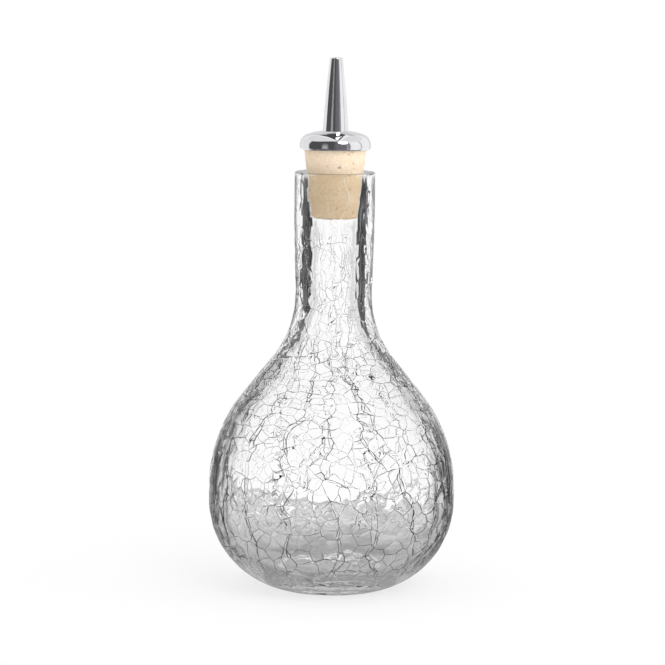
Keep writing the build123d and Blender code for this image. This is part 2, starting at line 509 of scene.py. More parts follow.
def glassOutline():
    # half outlines of the outside and the inside, and the height of the rim
    b = bottle
    step = b["step"]
    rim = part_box("glass_bottle")[1][2] / metre
    mouth = b["corkBottomRadius"] + b["corkTaper"] * b["corkDepth"] + b["seatClearance"]
    bore = b["corkBottomRadius"] - b["corkTaper"] * b["seatRunout"] + b["seatClearance"]
    neck, rimRadius = bore + b["neckWall"], mouth + b["rimWall"]
    lean = b["shoulderTurn"]
    square = (math.cos(math.radians(lean)), math.sin(math.radians(lean)))
    shoulder = (b["bodyRadius"] - b["shoulderArc"], b["bowlHeight"] + b["bellyBand"])

    def rootCentre(arc, rootArc, upright):
        start = (shoulder[0] + arc * square[0], shoulder[1] + arc * square[1])
        across = upright + rootArc
        return (across, start[1] + (rootArc - (across - start[0]) * square[0]) / square[1])

    def side(bowl, arc, rootArc, upright):
        centre = rootCentre(arc, rootArc, upright)
        return (
            bowl
            + arcPoints(shoulder, arc, 0, lean, step)
            + arcPoints(centre, rootArc, 180 + lean, 180, step)
        )

    outer = side(
        bowlArc(b["bodyRadius"], b["footRadius"], b["bowlHeight"], 0, step),
        b["shoulderArc"],
        b["rootArc"],
        neck,
    )
    outer += [(rimRadius, rim - b["rimBand"]), (rimRadius, rim - b["rimEdge"])]
    innerWide = b["bodyRadius"] - b["bulbWall"]
    inner = [(r, b["floorThickness"]) for r in (2, 4, 6.5, 9, 11.5, 14)]
    inner += side(
        bowlArc(innerWide, b["floorRadius"], b["bowlHeight"], b["floorThickness"], step),
        b["shoulderArc"] - b["bulbWall"],
        b["boreRootArc"],
        bore,
    )
    inner += [(bore, rim - b["corkDepth"] - b["seatRunout"]), (mouth, rim - b["rimEdge"])]
    return outer, inner, rim, rimRadius, mouth


def evenly(points, step):
    # the same line with no stretch longer than step
    line = [points[0]]
    for a, b in zip(points, points[1:]):
        count = max(1, math.ceil(math.dist(a, b) / step))
        for i in range(1, count + 1):
            line.append((a[0] + (b[0] - a[0]) * i / count, a[1] + (b[1] - a[1]) * i / count))
    return [p for i, p in enumerate(line) if i == 0 or math.dist(p, line[i - 1]) > 1e-6]


class Skin:
    # the outside as a flat map: u is the turn in radians, v grows with height, and both keep panes in shape
    def __init__(self, outline):
        self.line = evenly(outline, 0.5)
        self.v = [0.0]
        for (r0, z0), (r1, z1) in zip(self.line, self.line[1:]):
            tall = alongStops(paneTallness, (z0 + z1) / 2)
            self.v.append(self.v[-1] + math.dist((r0, z0), (r1, z1)) / ((r0 + r1) / 2) / tall)
        self.top = self.v[-1]

    def at(self, v):
        # radius and height there
        i = min(max(bisect_right(self.v, v) - 1, 0), len(self.v) - 2)
        t = (v - self.v[i]) / (self.v[i + 1] - self.v[i])
        (r0, z0), (r1, z1) = self.line[i], self.line[i + 1]
        return r0 + (r1 - r0) * t, z0 + (z1 - z0) * t

    def point(self, u, v):
        r, z = self.at(min(max(v, 0.0), self.top))
        return Vector((r * math.cos(u), r * math.sin(u), z))

    def paneSize(self, v, u):
        r, z = self.at(min(max(v, 0.0), self.top))
        low, high = panes["neckFrom"]
        share = min(1.0, max(0.0, (z - low) / (high - low)))
        size = panes["bulbPane"] + (panes["neckPane"] - panes["bulbPane"]) * share
        mood = noise.noise(self.point(u, v) / panes["moodSize"] + Vector((3.1, 0, 0)))
        least, most = panes["sizeRange"]
        return size * min(most, max(least, panes["sizeMiddle"] + panes["spread"] * mood)), r


def chainTurn(skin, strand, v):
    # where a strand of a long crack stands, in radians, at height v on the map
    chain, side = strand
    low, high = longCracks[chain]
    r, z = skin.at(min(max(v, 0.0), skin.top))
    first, last = panes["turnFrom"]
    share = min(1.0, max(0.0, (z - first) / (last - first)))
    sway = noise.noise(Vector((chain * 7.7, v * 1.3, 2.0))) * panes["sway"]
    sway += noise.noise(Vector((chain * 3.1, v * 4.5, 5.0))) * panes["fineSway"]
    middle, change = panes["apart"]
    apart = middle + change * noise.noise(Vector((chain * 9.3, v * 5.2, 4.0)))
    sway += side * apart * panes["strandGap"] / r
    return math.radians(low + (high - low) * share - 90) + sway


def chainGap(skin, strand, u, v):
    return (u - chainTurn(skin, strand, v) + math.pi) % (2 * math.pi) - math.pi


def cutByChain(skin, ring, strand):
    # parts a pane where a long crack runs through it; its neighbours get the same points
    gaps = [chainGap(skin, strand, u, v) for u, v, _ in ring]
    if min(gaps) > 0.1 or max(gaps) < -0.1 or max(gaps) - min(gaps) > math.pi:
        return [ring]
    marked, sides = [], []
    for i, here in enumerate(ring):
        # a crack that passes close to a point goes through it, so that no sliver is left
        r, _ = skin.at(min(max(here[1], 0.0), skin.top))
        near = abs(gaps[i]) * r < panes["snap"]
        marked.append((here[0], here[1], max(here[2], chainStrength(strand, here[1]))) if near else here)
        sides.append(0 if near else 1 if gaps[i] > 0 else -1)
    whole, cuts = [], []
    last = next((side for side in reversed(sides) if side), 0)
    for i, here in enumerate(marked):
        j = (i + 1) % len(marked)
        after = next((side for side in sides[i:] + sides[:i] if side), 0)
        if sides[i] == 0 and last * after < 0:
            cuts.append(len(whole))
            last = after
        last = sides[i] or last
        whole.append(here)
        if sides[i] * sides[j] < 0:
            t = gaps[i] / (gaps[i] - gaps[j])
            v = here[1] + (marked[j][1] - here[1]) * t
            cuts.append(len(whole))
            whole.append((here[0] + (marked[j][0] - here[0]) * t, v, chainStrength(strand, v)))
            last = sides[j]
    if len(cuts) != 2:
        return [whole]
    first, last = cuts
    start, end = whole[first], whole[last]
    r, _ = skin.at(min(max(start[1], 0.0), skin.top))
    count = max(1, round(abs(end[1] - start[1]) * r / panes["pieceLength"]))
    base, drift = chainGap(skin, strand, start[0], start[1]), chainGap(skin, strand, end[0], end[1])
    for wander in (1.0, 0.6, 0.3, 0.0):
        # straighter where a winding cut would run out over the pane's own edge
        along = []
        for k in range(1, count):
            t = k / count
            v = start[1] + (end[1] - start[1]) * t
            chord = start[0] + (end[0] - start[0]) * t
            winding = start[0] + chainTurn(skin, strand, v) - chainTurn(skin, strand, start[1])
            winding += (drift - base) * t
            along.append((chord + (winding - chord) * wander, v, chainStrength(strand, v)))
        halves = [whole[first : last + 1] + along[::-1], whole[last:] + whole[: first + 1] + along]
        if min(map(openness, halves)) > panes["openCut"]:
            return halves
    return [whole]


def chainStrength(strand, v):
    # a long crack comes and goes on its way up
    chain, side = strand
    fade = noise.noise(Vector((chain * 5.1 + side * 2.3, v * 1.6, 9.0)))
    fade += 0.5 * noise.noise(Vector((chain * 2.7 + side * 6.1, v * 9.0, 1.0)))
    return panes["longCrack"] * min(1.2, max(0.3, 0.9 + 1.3 * fade))


def scatter(skin, size, tries, dice):
    # places thrown on the map at random and kept where they aren't too near another
    turn = 2 * math.pi
    cell = 0.12
    columns = math.ceil(turn / cell)
    grid = {}
    kept = []
    for _ in range(tries):
        u, v = dice.random() * turn, dice.random() * skin.top
        reach = size(v, u)
        span = math.ceil(reach / cell)
        cu, cv = int(u / cell), int(v / cell)
        near = (
            spot
            for du in range(-span, span + 1)
            for dv in range(-span, span + 1)
            for spot in grid.get(((cu + du) % columns, cv + dv), ())
        )
        if all(mapDistance(spot, (u, v)) >= reach for spot in near):
            kept.append((u, v))
            grid.setdefault((cu, cv), []).append((u, v))
    return kept


def mapDistance(a, b):
    gap = abs(a[0] - b[0]) % (2 * math.pi)
    return math.hypot(min(gap, 2 * math.pi - gap), a[1] - b[1])


def plateOf(skin, plates, u, v):
    # which plate a pane belongs to: the one with the nearest middle
    v = -v if v < 0 else 2 * skin.top - v if v > skin.top else v
    return min(range(len(plates)), key=lambda k: mapDistance(plates[k], (u, v)))


def paneOutlines(skin, middles):
    # the Voronoi cell of each middle, with corners as (u, v)
    # the map is copied round its seam and mirrored at its ends
    turn = 2 * math.pi
    band = 0.6
    spots, labels = [], []
    for i, (u, v) in enumerate(middles):
        for du in (-turn, 0, turn):
            if not -band < u + du < turn + band:
                continue
            copies = [v] + ([-v] if v < band else []) + ([2 * skin.top - v] if v > skin.top - band else [])
            for k, height in enumerate(copies):
                spots.append((u + du, height))
                labels.append((i, k, du))
    flat = [Vector(s) for s in spots]
    _, _, triangles, origins, _, _ = delaunay_2d_cdt(flat, [], [], 0, 1e-9)
    source = [min(given) for given in origins]
    around = {}
    centres, middles = [], []
    for k, tri in enumerate(triangles):
        # worked out the same way for every copy of a triangle, so that both sides of the seam agree
        three = sorted((source[j] for j in tri), key=lambda i: labels[i][:2])
        shift = labels[three[0]][2]
        (ax, ay), (bx, by), (cx, cy) = ((spots[i][0] - shift, spots[i][1]) for i in three)
        bx, by, cx, cy = bx - ax, by - ay, cx - ax, cy - ay
        d = 2 * (bx * cy - by * cx)
        b2, c2 = bx * bx + by * by, cx * cx + cy * cy
        centres.append((ax + shift + (cy * b2 - by * c2) / d, ay + (bx * c2 - cx * b2) / d))
        middles.append((ax + shift + (bx + cx) / 3, ay + (by + cy) / 3))
        for j in tri:
            around.setdefault(j, []).append(k)
    cells = []
    for j, start in enumerate(source):
        if labels[start][1:] != (0, 0):
            continue
        x, y = spots[start]
        ring = sorted(around[j], key=lambda k: math.atan2(middles[k][1] - y, middles[k][0] - x))
        sides = []
        for k, following in zip(ring, ring[1:] + ring[:1]):
            # the pane across this side is the other corner that both triangles share
            other = next(i for i in triangles[k] if i != j and i in triangles[following])
            sides.append((centres[k], centres[following], spots[source[other]]))
        cells.append(((x, y), sides))
    return cells


def bend(skin, u, v):
    # cracks wander: a place on the map is shifted by a smooth noise, the same for the panes on both sides
    here = skin.point(u, v)
    r, _ = skin.at(min(max(v, 0.0), skin.top))
    fade = min(1.0, min(v, skin.top - v) * r / 2.5)
    if fade <= 1e-6:
        return u, v
    size = 2 * panes["bend"] * (1.0 if r > 16 else 0.7)
    shifts = []
    for apart in (Vector((0, 0, 0)), Vector((19, 7, 3))):
        wide = noise.noise(here / panes["bendSize"] + apart)
        fine = noise.noise(here / (panes["bendSize"] * 0.3) + apart + Vector((9, 4, 2)))
        shifts.append((wide + 0.2 * fine) * size * fade / r)
    return u + shifts[0], v + shifts[1]


def crackLine(skin, a, b):
    # points from corner a to corner b, without b, the same whichever pane asks
    turn = 2 * math.pi
    flip = (round(a[1], 7), round(a[0] % turn, 6)) > (round(b[1], 7), round(b[0] % turn, 6))
    start, end = (b, a) if flip else (a, b)
    r, _ = skin.at(min(max((a[1] + b[1]) / 2, 0.0), skin.top))
    count = max(1, round(math.dist(a, b) * r / panes["pieceLength"]))
    across, up = end[0] - start[0], end[1] - start[1]
    line = [(start[0] + across * i / count, start[1] + up * i / count) for i in range(count + 1)]
    if flip:
        line.reverse()
    return line[:-1]


def crackStrength(base, here, rim):
    # from 0, where the glass is smooth, to a little over 1 along the long cracks
    patch = noise.noise(here / panes["patchSize"] + Vector((0, 5, 0)))
    fine = noise.noise(here / panes["fineSize"])
    worn = base + panes["patchShare"] * patch + panes["fineShare"] * fine
    calm = min(1.0, max(0.04, (here.z - panes["calmFoot"]) / 4.0))
    calm *= min(1.0, max(0.05, (rim - panes["calmMouth"] - here.z) / 5.0))
    return max(0.07, min(1.25, worn)) * calm * alongStops(paneStrength, here.z)


def openness(ring):
    # how far the sides of a pane keep from its middle, for its size; below 0 some side is hidden from there
    count = len(ring)
    x, y = sum(p[0] for p in ring) / count, sum(p[1] for p in ring) / count
    size = sum(math.hypot(p[0] - x, p[1] - y) for p in ring) / count
    least = math.inf
    for a, b in zip(ring, ring[1:] + ring[:1]):
        length = max(math.hypot(b[0] - a[0], b[1] - a[1]), 1e-6)
        least = min(least, ((a[0] - x) * (b[1] - y) - (a[1] - y) * (b[0] - x)) / length)
    return least / max(size, 1e-6)


def openParts(ring):
    # parts a pane until each part is seen whole from its middle, so that no facet folds over
    now = openness(ring)
    if now > panes["openness"] or len(ring) < 5:
        return [ring]
    best, parts = now, None
    for i, j in itertools.combinations(range(len(ring)), 2):
        if 1 < j - i < len(ring) - 1:
            pair = (ring[i : j + 1], ring[j:] + ring[: i + 1])
            least = min(openness(pair[0]), openness(pair[1]))
            if least > best:
                best, parts = least, pair
    return [ring] if parts is None else [part for half in parts for part in openParts(half)]


def makeBaseGlass():
    # the closed glass before its cracks: one many-sided face for each pane, and the rest in strips
    outer, inner, rim, rimRadius, mouth = glassOutline()
    skin = Skin(outer)
    dice = random.Random(panes["seed"])

    def plateReach(v, u):
        return panes["plateSize"] * skin.paneSize(v, u)[0] / panes["bulbPane"] / skin.at(v)[0]

    def paneReach(v, u):
        size, r = skin.paneSize(v, u)
        return size * (0.75 + 0.5 * dice.random()) / r

    plates = scatter(skin, plateReach, panes["plateTries"], dice)
    cells = paneOutlines(skin, scatter(skin, paneReach, panes["tries"], dice))
    shape = bmesh.new()
    crack = shape.verts.layers.float.new("crack")
    pane = shape.faces.layers.float.new("pane")
    plate = shape.faces.layers.int.new("plate")
    turn = 2 * math.pi
    ends = {0: set(), 1: set()}
    count = 0
    for middle, sides in cells:
        mine = plateOf(skin, plates, *middle)
        ring = []
        for a, b, neighbour in sides:
            base = panes["fineCrack" if plateOf(skin, plates, *neighbour) == mine else "plateCrack"]
            ring += [(u, v, base) for u, v in crackLine(skin, a, b)]
        rings = [ring]
        for strand in itertools.product(range(len(longCracks)), (-1, 1)):
            rings = [part for whole in rings for part in cutByChain(skin, whole, strand)]
        for ring in rings:
            made, bent = [], []
            for u, v, base in ring:
                end = 0 if v < 1e-5 else 1 if v > skin.top - 1e-5 else None
                bent.append(bend(skin, u, v) if end is None else (u, v))
                if end is None:
                    vert = shape.verts.new(skin.point(*bent[-1]))
                    vert[crack] = crackStrength(base, vert.co, rim)
                else:
                    vert = shape.verts.new(skin.point(u, v))
                    ends[end].add(round(u % turn, 5))
                made.append(vert)
            r = skin.at(middle[1])[0]
            flat = [(u * r, v * r, vert) for (u, v), vert in zip(bent, made)]
            for part in openParts(flat):
                face = shape.faces.new([vert for _, _, vert in part])
                face[plate] = mine + 1
                count += 1
                if openness(part) > panes["openCut"]:
                    # how far its edge lies from its middle, as a rounded pane keeps to that
                    centre = face.calc_center_median()
                    face[pane] = sum((vert.co - centre).length for _, _, vert in part) / len(part) * metre
    print("panes:", count)

    def ringPoints(turns, r, z):
        return [shape.verts.new((r * math.cos(u), r * math.sin(u), z)) for u in turns]

    def strip(lower, upper):
        count = len(lower)
        for i in range(count):
            j = (i + 1) % count
            shape.faces.new((lower[i], lower[j], upper[j], upper[i]))

    # the rim and the inside, down to the middle of the floor
    turns = sorted(ends[1])
    edge = bottle["rimEdge"]
    path = [skin.at(skin.top)]
    bows = (0, 0.4, 0.8, 1.2, math.pi / 2)
    path += [(rimRadius - edge + edge * math.cos(a), rim - edge + edge * math.sin(a)) for a in bows[1:]]
    path += [(mouth + edge - edge * math.sin(a), rim - edge + edge * math.cos(a)) for a in bows]
    seat = rim - bottle["corkDepth"] - bottle["seatRunout"]
    path += list(reversed(evenly(inner, 1.8)))[1:]
    lower = ringPoints(turns, *path[0])
    for r, z in path[1:]:
        upper = ringPoints(turns, r, z)
        for vert in upper:
            calm = min(1.0, max(0.0, (seat - z) / 8.0)) * min(1.0, r / 12.0)
            across = Vector((vert.co.x, vert.co.y, 0)).normalized()
            swell = noise.noise(Vector((vert.co.x, vert.co.y, vert.co.z * 0.7)) / panes["rippleSize"])
            vert.co += across * swell * 2 * panes["ripple"] * calm
        strip(lower, upper)
        lower = upper
    shape.faces.new(lower)
    # the foot and the push-up
    turns = sorted(ends[0])
    path = [(bottle["footRadius"], 0.0), ((bottle["footRadius"] + bottle["pushUpRadius"]) / 2, 0.0)]
    for t in (0, 0.2, 0.4, 0.6, 0.8):
        path.append((bottle["pushUpRadius"] * (1 - t), bottle["pushUpDepth"] * (1 - (1 - t) ** 2)))
    upper = ringPoints(turns, *path[0])
    for r, z in path[1:]:
        lower = ringPoints(turns, r, z)
        strip(lower, upper)
        upper = lower
    shape.faces.new(list(reversed(upper)))
    bmesh.ops.remove_doubles(shape, verts=shape.verts, dist=0.001)
    bmesh.ops.dissolve_degenerate(shape, edges=shape.edges, dist=0.004)
    bmesh.ops.recalc_face_normals(shape, faces=shape.faces)
    bmesh.ops.scale(shape, vec=(metre, metre, metre), verts=shape.verts)
    loose = [e for e in shape.edges if not e.is_manifold]
    print("open edges before the cracks:", len(loose))
    mesh = bpy.data.meshes.new("glassBase")
    shape.to_mesh(mesh)
    shape.free()
    base = bpy.data.objects.new("glassBase", mesh)
    bpy.context.collection.objects.link(base)
    return base


def crackTree(outside, inside):
    # each pane is let in a little from its cracks, domed and tilted, and the cracks sink between the panes
    tree = bpy.data.node_groups.new("crackle", "GeometryNodeTree")
    face = tree.interface
    face.new_socket("Geometry", in_out="INPUT", socket_type="NodeSocketGeometry")
    for name in ("Groove Depth", "Groove Width", "Shoulder", "Tilt"):
        face.new_socket(name, in_out="INPUT", socket_type="NodeSocketFloat")
    face.new_socket("Seed", in_out="INPUT", socket_type="NodeSocketInt")
    face.new_socket("Geometry", in_out="OUTPUT", socket_type="NodeSocketGeometry")
    given = addNode(tree, "NodeGroupInput").outputs
    crack = addNode(tree, "GeometryNodeInputNamedAttribute", {"Name": "crack"}, data_type="FLOAT")
    pane = addNode(tree, "GeometryNodeInputNamedAttribute", {"Name": "pane"}, data_type="FLOAT")
    plate = addNode(tree, "GeometryNodeInputNamedAttribute", {"Name": "plate"}, data_type="INT")
    isPane = addNode(tree, "FunctionNodeCompare", [pane, 1e-6], operation="GREATER_THAN")
    normal = addNode(tree, "GeometryNodeInputNormal")
    position = addNode(tree, "GeometryNodeInputPosition")
    # a plate leans as one, and each of its panes a little in its own way
    bounds = {"Min": (-1, -1, -1), "Max": (1, 1, 1), "Seed": given["Seed"]}
    own = addNode(tree, "FunctionNodeRandomValue", bounds, data_type="FLOAT_VECTOR")
    own = addNode(tree, "ShaderNodeVectorMath", [own, panes["ownLean"]], operation="SCALE")
    shared = addNode(tree, "FunctionNodeRandomValue", {**bounds, "ID": plate}, data_type="FLOAT_VECTOR")
    lean = addNode(tree, "ShaderNodeVectorMath", [shared, own], operation="ADD")
    # what each pane keeps of itself: its middle, its lean, how far it reaches, and the way out
    keep = addNode(tree, "GeometryNodeCaptureAttribute", {"Geometry": given["Geometry"]}, domain="FACE")
    for name, kind, source in (
        ("middle", "VECTOR", position),
        ("lean", "VECTOR", lean),
        ("reach", "FLOAT", pane),
    ):
        keep.capture_items.new(kind, name)
        tree.links.new(source.outputs[0], keep.inputs[name])
    geometry = keep.outputs["Geometry"]
    out = addNode(tree, "GeometryNodeCaptureAttribute", {"Geometry": geometry}, domain="POINT")
    out.capture_items.new("VECTOR", "outward")
    tree.links.new(normal.outputs[0], out.inputs["outward"])
    outward = out.outputs["outward"]
    offset = addNode(tree, "ShaderNodeVectorMath", [position, keep.outputs["middle"]], operation="SUBTRACT")
    length = addNode(tree, "ShaderNodeVectorMath", [offset], operation="LENGTH")
    inward = addNode(tree, "ShaderNodeVectorMath", [offset], operation="NORMALIZE")

    def letIn(geometry, selection, name):
        # a new outline inside each pane's own, and a mark on the points of the new one
        values = {"Mesh": geometry, "Selection": selection, "Offset Scale": 0.0, "Individual": True}
        made = addNode(tree, "GeometryNodeExtrudeMesh", values, mode="FACES").outputs
        mark = addNode(tree, "GeometryNodeCaptureAttribute", {"Geometry": made["Mesh"]}, domain="POINT")
        mark.capture_items.new("BOOLEAN", name)
        tree.links.new(made["Top"], mark.inputs[name])
        return mark.outputs["Geometry"], made["Top"], made["Side"], mark.outputs[name]

    def shift(geometry, selection, way, amount):
        moved = addNode(tree, "ShaderNodeVectorMath", [way, amount], operation="SCALE")
        values = {"Geometry": geometry, "Selection": selection, "Offset": moved}
        return addNode(tree, "GeometryNodeSetPosition", values)

    # first ring: the crack's wall, as wide as the crack is strong
    geometry, top, side, raised = letIn(out.outputs["Geometry"], isPane, "raised")
    values = {"Geometry": geometry, "Name": "fracture", "Value": side}
    wall = addNode(tree, "GeometryNodeStoreNamedAttribute", values, data_type="FLOAT", domain="FACE")
    most = addNode(tree, "ShaderNodeMath", [length, panes["mostWidth"]], operation="MULTIPLY")
    width = crack
    for operation, other in (
        ("MULTIPLY", 1 - panes["leastWidth"]),
        ("ADD", panes["leastWidth"]),
        ("MULTIPLY", given["Groove Width"]),
        ("MULTIPLY", 0.5 * metre),
        ("MINIMUM", most),
        ("MULTIPLY", -1.0),
    ):
        width = addNode(tree, "ShaderNodeMath", [width, other], operation=operation)
    geometry = shift(wall, raised, inward, width)
    # second ring: the flat of the pane, rounder than its outline, with the pane's shoulder outside it
    geometry, _, _, flat = letIn(geometry, top, "flat")
    most = addNode(tree, "ShaderNodeMath", [length, panes["flatShare"]], operation="MULTIPLY")
    reach = length
    for operation, other in (
        ("ADD", keep.outputs["reach"]),
        ("MULTIPLY", 0.5 * panes["flatRound"]),
        ("MINIMUM", most),
        ("SUBTRACT", length),
    ):
        reach = addNode(tree, "ShaderNodeMath", [reach, other], operation=operation)
    geometry = shift(geometry, flat, inward, reach)
    # the cracks sink by their strength
    sunk = addNode(tree, "FunctionNodeBooleanMath", [raised], operation="NOT")
    depth = addNode(tree, "ShaderNodeMath", [crack, given["Groove Depth"]], operation="MULTIPLY")
    depth = addNode(tree, "ShaderNodeMath", [depth, -metre], operation="MULTIPLY")
    geometry = shift(geometry, sunk, outward, depth)
    # shoulder and tilt of each pane, always inwards and never where the glass is smooth
    notFlat = addNode(tree, "FunctionNodeBooleanMath", [flat], operation="NOT")
    fall = addNode(tree, "ShaderNodeMath", [notFlat, given["Shoulder"]], operation="MULTIPLY")
    rough = addNode(tree, "ShaderNodeMath", [crack, panes["leastFall"]], operation="ADD")
    fall = addNode(tree, "ShaderNodeMath", [fall, rough], operation="MULTIPLY")
    calm = addNode(tree, "ShaderNodeMath", [crack, panes["calmRise"]], operation="MULTIPLY")
    calm = addNode(tree, "ShaderNodeMath", [calm, 1.0], operation="MINIMUM")
    sink = addNode(tree, "ShaderNodeVectorMath", [offset, keep.outputs["lean"]], operation="DOT_PRODUCT")
    for operation, other in (
        ("MULTIPLY", 1 / metre),
        ("ADD", panes["tiltReach"]),
        ("MULTIPLY", given["Tilt"]),
        ("ADD", fall),
        ("MAXIMUM", 0.0),
        ("MINIMUM", panes["mostSink"]),
        ("MULTIPLY", calm),
        ("MULTIPLY", -metre),
    ):
        sink = addNode(tree, "ShaderNodeMath", [sink, other], operation=operation)
    geometry = shift(geometry, raised, outward, sink)
    # panes have a plate, and the rim, the inside and the foot have none
    within = addNode(tree, "FunctionNodeCompare", [plate, 0.5], operation="LESS_THAN")
    real = addNode(tree, "GeometryNodeRealizeInstances", [geometry])
    skin = addNode(tree, "GeometryNodeSetMaterial", {"Geometry": real, "Material": outside})
    values = {"Geometry": skin, "Selection": within, "Material": inside}
    addNode(tree, "NodeGroupOutput", [addNode(tree, "GeometryNodeSetMaterial", values)])
    return tree


def applyTree(piece, tree, values, name):
    # sets the tree's named inputs, turns the result into a plain mesh and drops the modifier
    modifier = piece.modifiers.new("nodes", "NODES")
    modifier.node_group = tree
    for item in tree.interface.items_tree:
        if item.item_type == "SOCKET" and item.in_out == "INPUT" and item.name in values:
            modifier[item.identifier] = values[item.name]
    graph = bpy.context.evaluated_depsgraph_get()
    graph.update()
    mesh = bpy.data.meshes.new_from_object(piece.evaluated_get(graph), depsgraph=graph)
    mesh.name = name
    made = bpy.data.objects.new(name, mesh)
    bpy.context.collection.objects.link(made)
    bpy.data.objects.remove(piece, do_unlink=True)
    return made


glass = {
    "ior": 1.5,
    "surfaceShine": 0.035,  # this much of the straight-on mirroring is left out, as the cracks break it up
    "tall": 140.0,  # the bands below are given up to this height
    # painted shade: the grazing edges of the glass are tinted this grey
    "edgeShadeColour": "#A9A9AA",
    "edgeShadeFacing": (0.60, 0.72),  # how far a face is turned away where this grey begins and is full
    # painted shade at the limbs: this light grey, in streaks of the darker line colour
    "limbShadeColour": "#EEEEEF",
    "limbFacing": (0.40, 0.50),
    "limbEnd": (0.90, 0.80),
    "limbShadeLine": "#8E8E90",
    "limbLines": 16.0,  # round the bottle, per radian
    "limbHeight": 14.0,
    "limbShare": (0.40, 0.55),
    # painted shade in what the inside mirrors: dark, in streaks
    "mirrorShadeDark": "#3A393B",
    "mirrorShadeStreak": "#848486",
    "mirrorEdge": (-0.012, 0.03),
    "streaks": 12.1,
    "streakHeight": 11.8,
    "streakShare": (0.42, 0.66),
    # a crack's grey is partly its own rough break and partly painted shade; the dark is painted shade and
    # the bright is painted glints
    "crackColour": "#7A7A7D",
    "crackShadeDark": "#262628",
    "crackGlint": "#D8D8DA",
    "crackPatch": 2.2,  # a crack changes its shade about this often
    "darkShare": (0.52, 0.60),
    "brightShare": (0.40, 0.34),
    "lipHeight": (138.1, 138.4),
    "lipFacing": (0.75, 0.55),
}
# by height in mm: how far the painted shade in the inside's mirror is lifted, and the facing past which the
# mirror is clear again
glassMirrorShade = (
    (0, 0.95, 0.62),
    (14, 0.95, 0.50),
    (22, 0.86, 0.34),
    (29, 0.28, 0.31),
    (38, 0.12, 0.31),
    (46, 0.12, 0.298),
    (52, 0.15, 0.287),
    (58, 0.25, 0.274),
    (64, 0.30, 0.276),
    (70, 0.28, 0.288),
    (78, 0.15, 0.305),
    (86, 0.05, 0.320),
    (92, 0.0, 0.36),
    (98, 0.0, 0.58),
    (123, 0.0, 0.58),
    (136.5, 0.0, 0.36),
    (138.6, 0.95, 0.34),
)
# by height in mm: how grey the painted shade on the grazing edges is
glassEdgeShade = ((0, 0.0), (80, 0.0), (94, 0.9), (137, 0.9), (138.3, 0.0))
# how dark the painted shade on the darkest stretches of a crack is, by height: darker low down
glassCrackShade = ((0, 1.0), (28, 1.0), (45, 0.8), (70, 0.55), (85, 0.3), (139, 0.3))
# and how far the painted shade of the limbs reaches in over the belly
glassLimbShade = (
    (0, 0.0),
    (18, 0.0),
    (27, 0.6),
    (35, 1.0),
    (42, 1.0),
    (50, 0.55),
    (60, 0.4),
    (76, 0.25),
    (86, 0.0),
    (139, 0.0),
)


